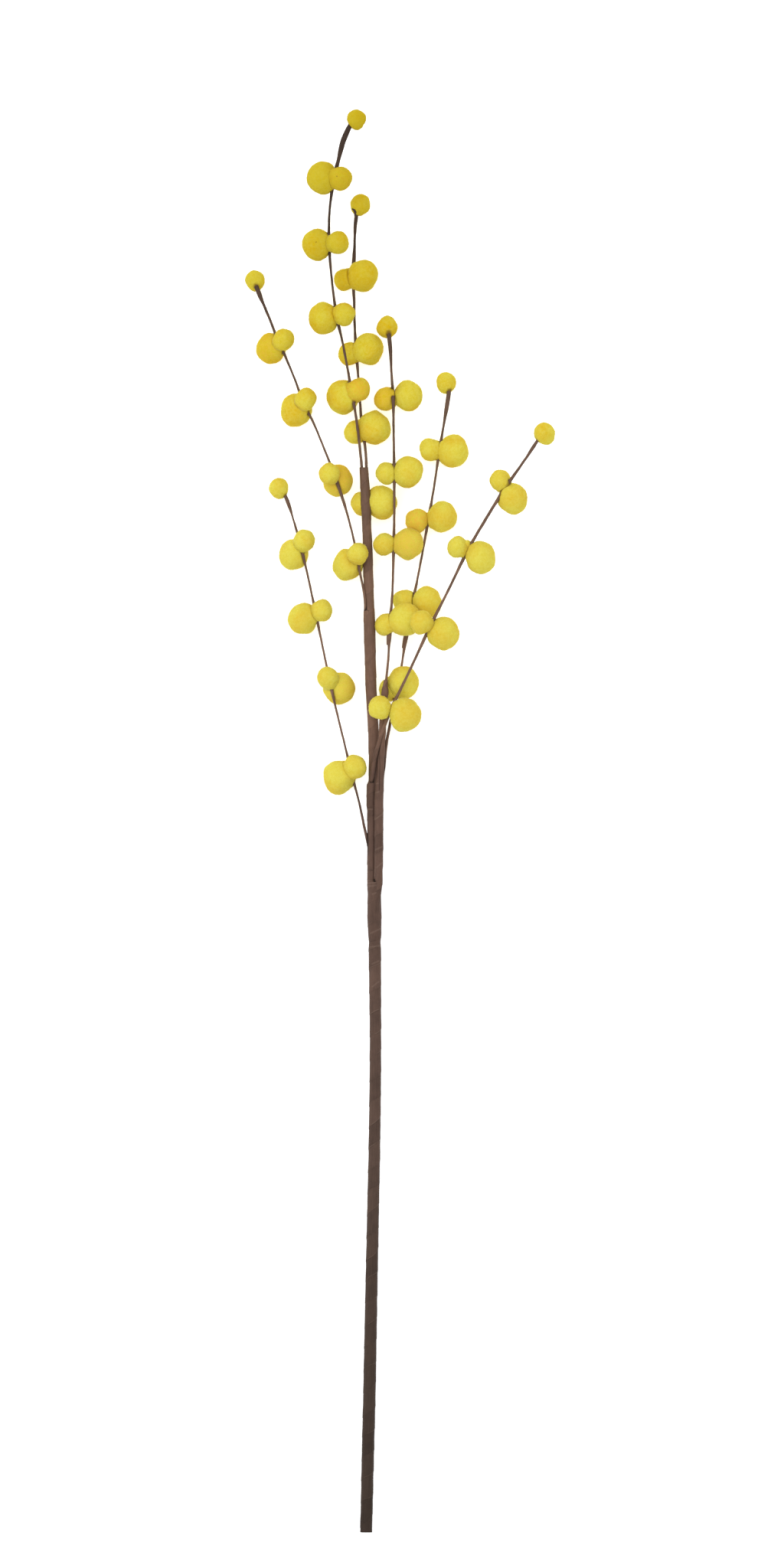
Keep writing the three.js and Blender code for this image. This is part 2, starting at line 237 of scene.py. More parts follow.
# What is added to a stem's seed for its creases and for its bumps
CREASE_SEED = 7
BUMP_SEED = 3
STEM_SIDES = 56
STEM_ROW = 0.65 * MM
SLICE = 1.0 * MM
BORE_CLEARANCE = 0.3 * MM
SIDE_STEM_WRAP_TOP = 433.5 * MM
WRAP_STEP = 0.02 * MM
# The brown at places up the branch, in metres of Y, with painted light falloff in it: lighter in the middle
# and darker towards the foot and the tips
PAPER_TONES_AND_FALLOFF = {
    -0.46: "#382D26",
    -0.3: "#45372F",
    -0.167: "#57443B",
    0.03: "#5E483E",
    0.075: "#785C4D",
    0.2: "#6E5547",
    0.3: "#604B3E",
    0.38: "#48382F",
    0.46: "#40322A",
}
PAPER_EDGE = "#8E786A"
# Painted shadow under the raw edge of a turn, and painted shade in creases and along folds
PAPER_STEP_SHADOW = "#33271F"
CREASE_SHADE = "#1D1510"
WRINKLE_WIDTH = 0.77 * MM
WRINKLE_LENGTH = 9.09 * MM
# From turn to turn the fine wrinkles jump on by this many of them
LAP_SHIFT = 7.3
BLOTCH = 7.14 * MM
LOOSE_STRETCH = 10.53 * MM
CREASE_REACH = 0.7 * MM
# Stands for a distance that is out of reach
FAR = 1.0
# The place on the tape of a corner that shows no edge of it: the middle of a turn
PLAIN_TAPE = (0, 0.5, 0)
EDGE_WIDTH = 0.5 * MM
FOLD_DEPTH = 0.6 * MM
FOLD_SHADE = 0.6
# A pixel of the photograph at the branch, and the column and the row of pixels in which the left
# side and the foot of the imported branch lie
PHOTO_PIXEL = 0.51 * MM
BOX_LEFT = 319.3
BOX_FOOT = 2002.2
# Raw edges and folds that stand out, each from spot to spot in the photograph's pixels
PALE_EDGES = {
    "main_stem": [
        ((481, 1153.5), (500, 1151.5)),
        ((482, 1157.5), (498, 1155.5)),
        ((486, 1168), (497, 1164)),
        ((484, 1219), (497, 1213)),
        ((483, 1237), (497, 1235)),
        ((486, 1259), (495, 1255)),
        ((486, 1289), (495, 1282)),
        ((480, 1057), (487, 1057)),
    ],
    "side_stem": [
        ((489, 1024), (494, 1023)),
        ((489, 1036), (495, 1034)),
        ((490, 1070), (500, 1063)),
        ((490, 1110), (499, 1106)),
        ((492, 1133), (499, 1127)),
    ],
}
DARK_FOLDS = {
    "main_stem": [
        ((480, 1055), (487, 1055)),
        ((480, 1136), (487, 1137)),
        ((483, 1229.5), (491, 1229)),
        ((489, 1020), (488.7, 1151)),
        ((476, 796), (482, 798)),
    ],
    "side_stem": [
        ((494, 972), (496, 1000)),
        ((496, 1000), (495.5, 1032)),
        ((489, 1020), (488.7, 1151)),
    ],
}
BRANCHES = "abcdefg"
WIRES = [f"branch_wire_{branch}" for branch in BRANCHES]
# The photograph's rows below which a wire is under the tape
BURIED_BELOW = {"branch_wire_c": 797, "branch_wire_f": 1023}


def slices_up(nodes, places):
    """Middle, half width across and half height of packed stems, cut across at places in Y"""
    cuts = []
    for node in nodes:
        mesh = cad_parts[node].data
        mesh.calc_loop_triangles()
        triangles = np.array([t.vertices for t in mesh.loop_triangles])
        cuts.append(corners_of(node)[triangles])
    corners = np.vstack(cuts)
    starts = corners.reshape(-1, 3)
    ends = np.roll(corners, -1, axis=1).reshape(-1, 3)
    rows = []
    for y in places:
        across = (starts[:, 1] - y) * (ends[:, 1] - y) < 0
        a, b = starts[across], ends[across]
        points = a + (b - a) * ((y - a[:, 1]) / (b - a)[:, 1])[:, None]
        low, high = points.min(0), points.max(0)
        middle, half = (low + high) / 2, (high - low) / 2
        rows.append([middle[0], y, middle[2], half[0], half[2]])
    return np.array(rows)


def up_at(row):
    """Place in Y of a row of the photograph's pixels"""
    return cad_box[0].y + (BOX_FOOT - row) * PHOTO_PIXEL


def seen_at(spot):
    """Place in X and Y of a spot in the photograph, given in its pixels"""
    return cad_box[0].x + (spot[0] - BOX_LEFT) * PHOTO_PIXEL, up_at(spot[1])


def line_up(node):
    """Rows up the part of a stem or wire that is out in the open, two slices apart"""
    low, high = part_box(node)
    start = up_at(BURIED_BELOW[node]) if node in BURIED_BELOW else low.y + SLICE / 2
    return slices_up([node], np.arange(start, high.y, 2 * SLICE))


def near_lines(corners, node, table):
    """How near each corner on the front of a stem is to the lines that the table has for it"""
    x, y, z = np.asarray(corners).reshape(-1, 3).T
    near = np.zeros(len(x))
    for spots in table.get(node, ()):
        a, b = map(seen_at, spots)
        way = (b[0] - a[0], b[1] - a[1])
        share = np.clip(((x - a[0]) * way[0] + (y - a[1]) * way[1]) / math.dist(a, b) ** 2, 0, 1)
        off = np.hypot(x - a[0] - share * way[0], y - a[1] - share * way[1])
        near = np.maximum(near, np.exp(-((off / EDGE_WIDTH) ** 2)))
    line = lines_up[node]
    return near * (z > np.interp(y, line[:, 1], line[:, 2]))


def crease_shade_marks(corners, node):
    """How near each corner of a stem or wire is to the ones beside it, or to a fold: 1 on them; this sets
    the painted shade in the creases
    """
    x, y, z = np.asarray(corners).T
    crease_shade = np.zeros(len(x))
    for other in ["main_stem", "side_stem", *WIRES]:
        if other != node:
            line = lines_up[other]
            along = line[:, 1]
            ends = {"left": FAR, "right": FAR}
            off_x = (x - np.interp(y, along, line[:, 0], **ends)) / np.interp(y, along, line[:, 3])
            off_z = (z - np.interp(y, along, line[:, 2], **ends)) / np.interp(y, along, line[:, 4])
            gap = (np.hypot(off_x, off_z) - 1) * line[:, 3:].min()
            crease_shade = np.maximum(crease_shade, np.exp(-np.maximum(gap, 0) / CREASE_REACH))
    crease_shade[y < stem_low.y + SIDE_STEM_WRAP_TOP] = 0
    return np.maximum(crease_shade, FOLD_SHADE * near_lines(corners, node, DARK_FOLDS))


def folded(rows, sides, swell, node):
    """Rings of corners of a stem or wire, drawn in along the folds of a stem"""
    upright = node not in WIRES
    skin = tube_corners(rows, sides, swell, upright)
    folds = near_lines(skin, node, DARK_FOLDS).reshape(swell.shape)
    return tube_corners(rows, sides, swell - FOLD_DEPTH * folds, upright)


def drift(places, size, seed):
    """Smooth random value from -1 to 1 at each place, with bumps of the stated size"""
    shifted = np.asarray(places) / size + seed
    values = [noise.noise(Vector(place)) for place in shifted.reshape(-1, 3)]
    return np.array(values).reshape(shifted.shape[:-1])


def wound_tape(rows, sides, turn, lift, seed):
    """How far tape stands out at each corner of a stem, and for each corner of its faces the place
    on the tape: round the stem, in turns of the winding, and up the stem"""
    steps = np.linalg.norm(np.diff(rows[:, :3], axis=0), axis=1)
    up = np.concatenate([[0], np.cumsum(steps)])[:, None]
    share = (np.arange(sides + 1) / sides)[None, :]
    girth = 2 * math.pi * rows[:, 3, None] * share
    angle = 2 * math.pi * share
    off_x, off_z = rows[:, 3, None] * np.cos(angle), rows[:, 3, None] * np.sin(angle)
    round_stem = np.stack([up + 0 * angle, off_x, off_z], -1)
    winding = up / turn + share + TAPE_WOBBLE * drift(round_stem, WOBBLE_SIZE, seed)
    across = winding % 1
    wrinkles = np.stack([off_x, off_z, up / CREASE_STRETCH + 0 * angle], -1)
    jumps = TURN_APART * np.floor(winding)[..., None]
    creases = drift(wrinkles + jumps, CREASE_SIZE, seed + CREASE_SEED)
    bumps = drift(round_stem, BUMP_SIZE, seed + BUMP_SEED)
    swell = lift * ((1 - across) ** 2 - MEAN_LIFT) + TAPE_CREASE * creases + TAPE_BUMP * bumps
    place = np.stack([girth, winding, up + 0 * share], -1)
    marks = np.stack([place[:-1, :-1], place[1:, :-1], place[1:, 1:], place[:-1, 1:]], axis=2)
    return swell[:, :-1], marks.reshape(-1, 3)


# Waxed crepe paper: dry brown with fine wrinkles along the stem, here and there a pale raw edge to
# a turn and a painted shadow under it; painted lighter in the middle and darker towards the foot and
# the tips, as a lamp's light falls off, and painted shade in the creases between strands and folds
waxed_tape = new_finish("waxed_crepe_tape")
on_tape = add_node(waxed_tape, "ShaderNodeAttribute", {"attribute_name": "on_tape"}).outputs["Vector"]
part = add_node(waxed_tape, "ShaderNodeSeparateXYZ", Vector=on_tape)
across = add_node(waxed_tape, "ShaderNodeMath", {"operation": "FRACT"}, Value=part.outputs["Y"])
lap = add_node(waxed_tape, "ShaderNodeMath", {"operation": "FLOOR"}, Value=part.outputs["Y"])
lap_tone = add_node(
    waxed_tape,
    "ShaderNodeTexWhiteNoise",
    {"noise_dimensions": "1D"},
    W=lap.outputs["Value"],
)
of_lap = add_node(
    waxed_tape,
    "ShaderNodeCombineXYZ",
    X=part.outputs["X"],
    Y=lap.outputs["Value"],
    Z=part.outputs["Z"],
)
stretched = add_node(
    waxed_tape,
    "ShaderNodeMapping",
    Vector=of_lap.outputs["Vector"],
    Scale=(1 / WRINKLE_WIDTH, LAP_SHIFT, 1 / WRINKLE_LENGTH),
)
crepe = add_node(
    waxed_tape,
    "ShaderNodeTexNoise",
    Vector=stretched.outputs["Vector"],
    Scale=1,
    Detail=4,
)
place = add_node(waxed_tape, "ShaderNodeTexCoord").outputs["Object"]
blotch = add_node(
    waxed_tape,
    "ShaderNodeTexNoise",
    Vector=place,
    Scale=1 / BLOTCH,
    Detail=5,
    Roughness=0.6,
)
blend = add_node(
    waxed_tape,
    "ShaderNodeMixRGB",
    Fac=0.5,
    Color1=crepe.outputs["Fac"],
    Color2=blotch.outputs["Fac"],
)
mixed = add_node(
    waxed_tape,
    "ShaderNodeMixRGB",
    Fac=0.2,
    Color1=blend.outputs["Color"],
    Color2=lap_tone.outputs["Value"],
)
tone = add_node(
    waxed_tape,
    "ShaderNodeMapRange",
    Value=mixed.outputs["Color"],
    From_Min=0.35,
    From_Max=0.65,
    To_Min=0.78,
    To_Max=1.22,
)
height = add_node(waxed_tape, "ShaderNodeSeparateXYZ", Vector=place)
low, high = min(PAPER_TONES_AND_FALLOFF), max(PAPER_TONES_AND_FALLOFF)
up = add_node(
    waxed_tape,
    "ShaderNodeMapRange",
    Value=height.outputs["Y"],
    From_Min=low,
    From_Max=high,
)
# Painted light falloff: the tape's browns, lighter in the middle and darker towards the foot and the tips
falloff_tones = add_node(waxed_tape, "ShaderNodeValToRGB", Fac=up.outputs["Result"])
stops = falloff_tones.color_ramp.elements
for y, colour in PAPER_TONES_AND_FALLOFF.items():
    share = (y - low) / (high - low)
    stop = stops[0] if share == 0 else stops[-1] if share == 1 else stops.new(share)
    stop.color = linear(colour)
paper = add_node(
    waxed_tape,
    "ShaderNodeMixRGB",
    {"blend_type": "MULTIPLY"},
    Fac=1,
    Color1=falloff_tones.outputs["Color"],
    Color2=tone.outputs["Result"],
)
patch = add_node(waxed_tape, "ShaderNodeTexNoise", Vector=place, Scale=1 / LOOSE_STRETCH, Detail=1)
lifted = add_node(
    waxed_tape,
    "ShaderNodeMapRange",
    Value=patch.outputs["Fac"],
    From_Min=0.48,
    From_Max=0.6,
)
# How plainly the turns show: hardly at the foot, most just under the branches, little above
loose = add_node(
    waxed_tape,
    "ShaderNodeMapRange",
    Value=height.outputs["Y"],
    From_Min=-0.4,
    From_Max=-0.15,
    To_Min=0.12,
    To_Max=0.4,
)
pulled = add_node(
    waxed_tape,
    "ShaderNodeMapRange",
    Value=height.outputs["Y"],
    From_Min=-0.15,
    From_Max=-0.03,
    To_Min=loose.outputs["Result"],
    To_Max=0.16,
)
shows = add_node(waxed_tape, "ShaderNodeMath", {"operation": "MULTIPLY"})
waxed_tape.node_tree.links.new(lifted.outputs["Result"], shows.inputs[0])
waxed_tape.node_tree.links.new(pulled.outputs["Result"], shows.inputs[1])
# Painted shadow under the raw edge of each turn
under = add_node(
    waxed_tape,
    "ShaderNodeMapRange",
    {"interpolation_type": "SMOOTHSTEP"},
    Value=across.outputs["Value"],
    From_Min=0.94,
    From_Max=1,
    To_Max=shows.outputs["Value"],
)
step_shadowed = add_node(
    waxed_tape,
    "ShaderNodeMixRGB",
    Fac=under.outputs["Result"],
    Color1=paper.outputs["Color"],
    Color2=linear(PAPER_STEP_SHADOW),
)
edge = add_node(
    waxed_tape,
    "ShaderNodeMapRange",
    Value=across.outputs["Value"],
    From_Min=0.01,
    From_Max=0.04,
    To_Min=shows.outputs["Value"],
    To_Max=0,
)
edged = add_node(
    waxed_tape,
    "ShaderNodeMixRGB",
    Fac=edge.outputs["Result"],
    Color1=step_shadowed.outputs["Color"],
    Color2=linear(PAPER_EDGE),
)
proud = add_node(
    waxed_tape,
    "ShaderNodeMapRange",
    Value=across.outputs["Value"],
    From_Max=0.3,
    To_Min=1,
    To_Max=0,
)
ridges = add_node(
    waxed_tape,
    "ShaderNodeMixRGB",
    Fac=0.25,
    Color1=crepe.outputs["Fac"],
    Color2=proud.outputs["Result"],
)
raw = add_node(waxed_tape, "ShaderNodeAttribute", {"attribute_name": "edge"}).outputs["Fac"]
raw_share = add_node(waxed_tape, "ShaderNodeMapRange", Value=raw, From_Min=0.2, From_Max=1, To_Max=0.28)
raw_edged = add_node(
    waxed_tape,
    "ShaderNodeMixRGB",
    Fac=raw_share.outputs["Result"],
    Color1=edged.outputs["Color"],
    Color2=linear(PAPER_EDGE),
)
# Painted shade in the creases between stems and wires and along the folds
crease_shade = add_node(waxed_tape, "ShaderNodeAttribute", {"attribute_name": "crease_shade"}).outputs["Fac"]
crease_shade_share = add_node(
    waxed_tape,
    "ShaderNodeMapRange",
    {"interpolation_type": "SMOOTHSTEP"},
    Value=crease_shade,
    From_Min=0.25,
    From_Max=0.9,
    To_Max=0.85,
)
crease_shaded = add_node(
    waxed_tape,
    "ShaderNodeMixRGB",
    Fac=crease_shade_share.outputs["Result"],
    Color1=raw_edged.outputs["Color"],
    Color2=linear(CREASE_SHADE),
)
relief = add_node(
    waxed_tape,
    "ShaderNodeBump",
    Height=ridges.outputs["Color"],
    Strength=0.7,
    Distance=0.3 * MM,
)
wax = add_node(waxed_tape, "ShaderNodeMapRange", Value=blotch.outputs["Fac"], To_Min=0.6, To_Max=0.85)
tape = add_node(
    waxed_tape,
    "ShaderNodeBsdfPrincipled",
    Base_Color=crease_shaded.outputs["Color"],
    Roughness=wax.outputs["Result"],
    Normal=relief.outputs["Normal"],
    Specular_IOR_Level=0.15,
)
add_node(waxed_tape, "ShaderNodeOutputMaterial", Surface=tape.outputs["BSDF"])

lines_up = {node: line_up(node) for node in ["main_stem", "side_stem", *WIRES]}
stem_low, stem_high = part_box("main_stem")
stations = np.arange(stem_low.y + SLICE / 2, stem_high.y, SLICE)
wrap_top = stem_low.y + SIDE_STEM_WRAP_TOP
bundle = slices_up(["main_stem", "side_stem"], stations[stations < wrap_top])
single = slices_up(["main_stem"], stations[stations >= wrap_top])
step = [wrap_top - WRAP_STEP, wrap_top + WRAP_STEP]
under_step = slices_up(["main_stem", "side_stem"], step[:1])
over_step = slices_up(["main_stem"], step[1:])
slices = np.vstack([bundle, under_step, over_step, single])
stem_places = np.sort([*np.arange(stem_low.y, stem_high.y, STEM_ROW), *step])
main_rows = np.column_stack([np.interp(stem_places, slices[:, 1], column) for column in slices.T])
main_rows[:, 1] = stem_places
main_swell, main_marks = wound_tape(main_rows, STEM_SIDES, TAPE_TURN, TAPE_LIFT, MAIN_SEED)
main_skin = folded(main_rows, STEM_SIDES, main_swell, "main_stem")
main_skin[..., 2] = np.maximum(main_skin[..., 2], 0)

bore_rows = core_rows.copy()
bore_rows[:, 3:] += BORE_CLEARANCE
bore_skin = tube_corners(bore_rows, STEM_SIDES)
main_corners = np.vstack(
    [
        main_skin.reshape(-1, 3),
        main_rows[-1:, :3],
        bore_skin.reshape(-1, 3),
        bore_rows[-1:, :3],
    ]
)
top_middle = main_skin.shape[0] * STEM_SIDES
bore_first = top_middle + 1
bore_end = bore_first + bore_skin.shape[0] * STEM_SIDES
stem_ring = np.arange(STEM_SIDES)
main_faces = tube_faces(len(main_rows), STEM_SIDES)
main_faces += end_faces(stem_ring + top_middle - STEM_SIDES, top_middle, -1)
main_faces += [face[::-1] for face in tube_faces(len(bore_rows), STEM_SIDES, bore_first)]
main_faces += end_faces(stem_ring + bore_end - STEM_SIDES, bore_end, 1)
main_faces += [
    [int(a), int(b), int(b) + bore_first, int(a) + bore_first]
    for a, b in zip(stem_ring, np.roll(stem_ring, -1))
]


def marks_for_all(marks, corners, faces, node):
    """The places on the tape of a tube's own faces, with a plain one for each corner of the faces
    that close it, and the painted crease shade and raw edges at its corners"""
    rest = sum(len(face) for face in faces) - len(marks)
    on_tape = np.vstack([marks, np.tile(PLAIN_TAPE, (rest, 1))])
    edge = near_lines(corners, node, PALE_EDGES)
    return {"on_tape": on_tape, "crease_shade": crease_shade_marks(corners, node), "edge": edge}


make_piece(
    "main_stem_taped",
    main_corners,
    main_faces,
    waxed_tape,
    ["main_stem"],
    marks_for_all(main_marks, main_corners, main_faces, "main_stem"),
)


# Side stem: a second taped bundle, bound to the front of the main one by the thick winding.
# It carries two of the wires and ends in a knob of wound tape.
SIDE_SIDES = 56
SIDE_ROW = 0.6 * MM
SIDE_TURN = 12.5 * MM
SIDE_LIFT = 0.18 * MM
SIDE_SEED = 23
KNOB_ROUND = 0.5 * MM
KNOB_LEANS = (30, 60, 80)


def rounded_end(rows, radius):
    """The same rows, with a few more that draw the skin in at the end"""
    ahead = (rows[-1] - rows[-2])[:3]
    ahead = ahead / np.linalg.norm(ahead)
    more = []
    for lean in KNOB_LEANS:
        row = rows[-1].copy()
        row[:3] += ahead * radius * math.sin(math.radians(lean))
        row[3:] -= radius * (1 - math.cos(math.radians(lean)))
        more.append(row)
    return np.vstack([rows, more])


def taped_bar(name, rows, sides, turn, lift, seed, node, paper=0):
    """Taped stem or wire, closed at both ends; paper is how far loose paper stands off its solid"""
    swell, marks = wound_tape(rows, sides, turn, lift, seed)
    corners, faces = closed_tube(folded(rows, sides, swell + paper, node), rows)
    marks = marks_for_all(marks, corners, faces, node)
    make_piece(name, corners, faces, waxed_tape, [node], marks)


side_low, side_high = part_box("side_stem")
side_slices = slices_up(["side_stem"], np.arange(side_low.y + SLICE / 2, side_high.y, SLICE))
side_places = np.arange(side_low.y + SLICE / 2, side_high.y - SLICE / 2, SIDE_ROW)
side_rows = np.column_stack([np.interp(side_places, side_slices[:, 1], column) for column in side_slices.T])
side_rows = rounded_end(side_rows, KNOB_ROUND)
taped_bar("side_stem_taped", side_rows, SIDE_SIDES, SIDE_TURN, SIDE_LIFT, SIDE_SEED, "side_stem")


# Branch wires: seven lengths of thin wire, each in a single winding of the same tape, which is
# drawn out thin here. They go from holes in the stems, through the pairs of balls, to the tips.
WIRE_SIDES = 14
WIRE_ROW = 0.8 * MM
WIRE_TURN = 9 * MM
WIRE_LIFT = 0.07 * MM
WIRE_PAPER = 0.12 * MM
WIRE_SEED = 40
# Where wires c and f go down under the tape of the stem, in the photograph's rows
SUNK = {"c": (788, 804), "f": (1004, 1026)}
SINK_DEPTH = 3 * MM
SINK_BEND = 1.4
# The row at which a wire comes out in front of a large ball, and the rows between which one is
# hidden between two balls; the reaches are how far above and below it eases back
OUT_IN_FRONT = {"a4": 523, "c3": 630, "g1": 721, "g3": 902}
OUT_REACH = (3 * MM, 9 * MM)
HELD_BACK = {"d1": (508, 516)}
BACK_REACH = (3 * MM, 3 * MM)
SOLID_LUMP = 0.9 * MM
FIT_ROUNDS = 12


def fitted_ball(corners):
    """Middle and radius of the ball that passes nearest to the corners"""
    table = np.column_stack([2 * corners, np.ones(len(corners))])
    answer = np.linalg.lstsq(table, (corners**2).sum(1), rcond=None)[0]
    return answer[:3], math.sqrt(answer[3] + answer[:3] @ answer[:3])


def misses(corners, ball):
    """How far each corner is off the skin of a ball"""
    return abs(np.linalg.norm(corners - ball[0], axis=1) - ball[1])


def balls_in(node, count):
    """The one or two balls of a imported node, the larger first"""
    corners = np.unique(corners_of(node).round(6), axis=0)
    offset = corners - corners.mean(0)
    side = offset @ np.linalg.svd(offset)[2][0] > 0 if count == 2 else np.ones(len(corners), bool)
    sure = np.ones(len(corners), bool)
    for _ in range(FIT_ROUNDS):
        balls = [fitted_ball(corners[chosen & sure]) for chosen in (side, ~side)[:count]]
        off = np.array([misses(corners, ball) for ball in balls])
        side = off.argmin(0) == 0
        sure = off.min(0) < SOLID_LUMP
    return sorted(balls, key=lambda ball: -ball[1])


def eased(rows, shift, reach):
    """The most of the shifts near each row of a wire, each let go over the reach above and below it"""
    apart = rows[:, None, 1] - rows[None, :, 1]
    share = np.clip(1 - abs(apart) / np.where(apart > 0, *reach), 0, 1)
    return (shift * share**2 * (3 - 2 * share)).max(1)


def laid_by(rows, branch):
    """Rows of a wire, brought out in front of a ball or held back between two, as photographed"""
    for key, spot in OUT_IN_FRONT.items():
        if key[0] == branch:
            middle, radius = balls_in(f"ball_pair_{key}", 2)[0]
            off = np.linalg.norm(rows[:, :2] - middle[:2], axis=1)
            front = middle[2] + np.sqrt(np.maximum(radius**2 - off**2, 0))
            on_ball = (rows[:, 1] < up_at(spot)) & (off < radius)
            rows[:, 2] += eased(rows, on_ball * np.maximum(front - rows[:, 2], 0), OUT_REACH)
    for key, spots in HELD_BACK.items():
        if key[0] == branch:
            high, low = map(up_at, spots)
            level = balls_in(f"ball_pair_{key}", 2)[0][0][2]
            between = (rows[:, 1] > low) & (rows[:, 1] < high)
            rows[:, 2] -= eased(rows, between * (rows[:, 2] - level), BACK_REACH)
    return rows


wire_rows = {}
for number, branch in enumerate(BRANCHES):
    node = f"branch_wire_{branch}"
    wire_rows[branch] = laid_by(smooth_through(rings_up(node), WIRE_ROW), branch)
    if branch in SUNK:
        start, end = map(up_at, SUNK[branch])
        sunk = np.clip((wire_rows[branch][:, 1] - start) / (end - start), 0, 1)
        wire_rows[branch][:, 2] -= SINK_DEPTH * sunk**SINK_BEND
    taped_bar(
        f"wire_{branch}_taped",
        wire_rows[branch],
        WIRE_SIDES,
        WIRE_TURN,
        WIRE_LIFT,
        WIRE_SEED + number,
        node,
        WIRE_PAPER,
    )


# Tape tails: the torn ends of three windings. Two stand off the wires beside their thick stretches,
# and the one at the tip of wire b is stuck up the front of its ball.
TAILS = {"d": (819, 842.5), "e": (824, 846.5)}
TAIL_SIDES = 12
TAIL_WIDTH = 1.5 * MM
TAIL_THICKNESS = 0.3 * MM
# How far a tail lies to the left and the front of its wire, in the wire's radii, and more to the
# left in its own widths, at its top and added to that at its foot
TAIL_LEFT = 0.3
TAIL_FRONT = 0.5
TAIL_OUT = (0.35, 0.25)
TAIL_TAPER = 0.35
# Spots in the photograph's pixels, how far each stands in front of the wire's end, and half the width
TIP_TAIL = [
    ((465.4, 286), 0.5 * MM, 1.1 * MM),
    ((465, 281), 1.4 * MM, 1.2 * MM),
    ((464.6, 278.3), 3.1 * MM, 1.2 * MM),
    ((464, 276), 4.5 * MM, 1.15 * MM),
    ((462.4, 273.9), 4.8 * MM, 0.95 * MM),
    ((459.8, 272.8), 3.6 * MM, 0.6 * MM),
]


def tape_tail(branch, rows):
    """Short flat length of tape, closed at both ends"""
    corners, faces = closed_tube(tube_corners(rows, TAIL_SIDES), rows)
    marks = {"on_tape": np.tile(PLAIN_TAPE, (len(corners), 1))}
    make_piece(f"tape_tail_{branch}", corners, faces, waxed_tape, [], marks)


for branch, (top_spot, foot_spot) in TAILS.items():
    places = np.arange(up_at(foot_spot), up_at(top_spot), WIRE_ROW)
    line = wire_rows[branch]
    beside = np.column_stack([np.interp(places, line[:, 1], column) for column in line.T])
    share = np.linspace(1, 0, len(places))
    beside[:, 0] -= beside[:, 3] * TAIL_LEFT + TAIL_WIDTH * (TAIL_OUT[0] + TAIL_OUT[1] * share)
    beside[:, 2] += beside[:, 3] * TAIL_FRONT
    beside[:, 3] = TAIL_WIDTH / 2 * (1 - TAIL_TAPER * share**3)
    beside[:, 4] = TAIL_THICKNESS / 2
    tape_tail(branch, beside)

end_height = wire_rows["b"][-1, 2]
tip_knots = [(*seen_at(spot), end_height + rise, half, TAIL_THICKNESS) for spot, rise, half in TIP_TAIL]
tape_tail("b", smooth_through(np.array(tip_knots), WIRE_ROW / 2))


# Plush balls: tight balls of trimmed yellow fibre, 20 mm and 15 mm, glued in pairs on each side of
# a wire, and one 14 mm ball pushed on the end of it. Pressed flat where they meet or rest.
LARGE_CORNERS = 3000
SMALL_CORNERS = 1900
LARGE_FIBRES = 3000
SMALL_FIBRES = 1700
BALL_LENGTHEN = 1.03
BALL_TURNS = (1, 2.1, 0.7)
# A packed ball's corners lie outside the round ball that its flat faces stand for: this share of
# their distance from its middle is taken as its radius
FACET_SHARE = 0.987
NAP_DEPTH = 0.35 * MM
PRESS = 0.06 * MM
JOIN_REACH = 3 * MM
JOIN_RISE = 1.4 * MM
WIRE_ROOM = 0.25 * MM
# Flats that scissors leave: how many on a ball, how far from its middle as shares of its radius,
# how sharp their edges are, and the least nearness to the middle of one that is counted with
SNIPS = 16
SNIP_DEPTH = (0.945, 1.0)
SNIP_SHARPNESS = 18
SNIP_EDGE = 0.05
# Height of the unevenness of the skin, and the size of each kind across
BROAD_LUMP = 0.75 * MM
BROAD_SIZE = 8 * MM
CLUMP = 0.22 * MM
CLUMP_SIZE = 2.4 * MM
TUFT = 0.16 * MM
TUFT_SIZE = 0.9 * MM
# What is added to a ball's seed for its flats, its clumps and its tufts
SNIP_SEED = 5
CLUMP_SEED = 31
TUFT_SEED = 57
FIBRE_LENGTH = (0.25 * MM, 0.65 * MM)
# Real fibre is about 0.02 mm thick: drawn thicker, so that it shows
FIBRE_RADIUS = 0.07 * MM
FIBRE_ROUND = 2
FIBRE_GLOW = 0.4
FIBRE_LEAN = 0.45
FIBRE_ROOT = 0.15 * MM
SOFTNESS = 0.5
# Depth of the nap from 0, the bottom, which is painted darker as shade deep down and paler on top,
# and what a fibre's three foot corners and its tip add to it; how much painted glow each of those four has
NAP_MEAN = 0.45
NAP_CLUMP = 0.25
NAP_TUFT = 0.35
SPIKE_NAP = (0.2, 0.2, 0.2, 0.6)
SPIKE_LIGHT = (0.6, 0.6, 0.6, 1)
GLUE_AND_SHADE_REACH = 1.3 * MM
# Darker deep in the nap: painted shade
PLUSH_NAP_SHADE = "#CCAC06"
PLUSH_BODY = "#D7C719"
PLUSH_LIGHT = "#DFD96C"
PLUSH_GOLD = "#D3A902"
PLUSH_WARM = "#DEA224"
# Darker towards the tips: painted light falloff
PLUSH_SHADE = "#BAA318"
PLUSH_BLOOM = "#E6EADA"
# Glue brown, which is also painted shade where a wire goes in
GLUE_AND_SHADE_BROWN = "#6E4E24"
DYE_CLOUD = 16.13 * MM
DYE_MOTTLE = 2 * MM
LINT = 0.909 * MM
# Small spots of glue on the front of a ball, in the photograph's pixels
SPECKS = {"a1": (440, 231.5), "a2": (413, 317)}
SPECK_SIZE = 0.7 * MM


def even_sphere(count):
    """Corners spread evenly over a ball of radius 1, and the faces between them"""
    k = np.arange(count)
    z = 1 - (2 * k + 1) / count
    turn = math.pi * (3 - math.sqrt(5)) * k
    ring = np.sqrt(1 - z * z)
    corners = np.column_stack([ring * np.cos(turn), ring * np.sin(turn), z])
    shell = bmesh.new()
    for corner in corners:
        shell.verts.new(corner)
    bmesh.ops.convex_hull(shell, input=shell.verts)
    shell.verts.index_update()
    faces = [[v.index for v in face.verts] for face in shell.faces]
    shell.free()
    return corners, np.array(faces)


